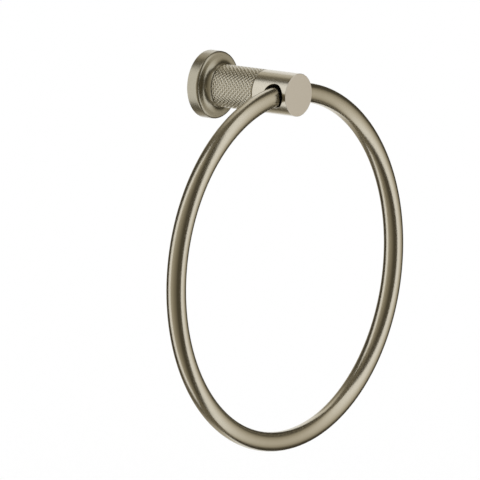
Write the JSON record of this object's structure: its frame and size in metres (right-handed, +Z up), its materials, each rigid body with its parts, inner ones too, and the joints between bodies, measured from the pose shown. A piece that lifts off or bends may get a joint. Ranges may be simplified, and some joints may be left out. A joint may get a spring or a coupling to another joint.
{
  "type": "towel ring",
  "caption": "Wall-mounted towel ring: a round flange and a knurled post whose head carries a loose round ring that swings up and forward.",
  "frame": {"origin": "on the wall face, on the axis of the post", "axes": "+Z up, +Y into the wall, the post stands out along -Y; the ring hangs in a plane parallel to the wall"},
  "size_m": [0.2112, 0.0654, 0.2249],
  "materials": {
    "brushed_nickel": "satin brushed nickel plate on turned brass",
    "knurled_nickel": "satin nickel plate on a rolled diamond knurl",
    "ring_nickel": "satin nickel plate on bent and polished tube",
    "plate_zinc": "zinc-plated steel plate",
    "screw_steel": "plain stainless fasteners",
    "dowel_brass": "plain turned brass"
  },
  "bodies": {
    "holder": {"wall_plate": "plate_zinc", "flange": "brushed_nickel", "grub_screw": "screw_steel", "stud": "screw_steel", "spring_washer": "screw_steel", "nut": "screw_steel", "knurled_sleeve": "knurled_nickel", "head": "brushed_nickel"},
    "ring": {"ring": "ring_nickel", "ring_dowel": "dowel_brass"}
  },
  "joints": [
    {"name": "ring_swing", "type": "hinge", "parent": "holder", "child": "ring", "pos_m": [0, -0.0563, 0], "axis": [-1, 0, 0], "range_deg": [-14.5, 194.5]}
  ]
}
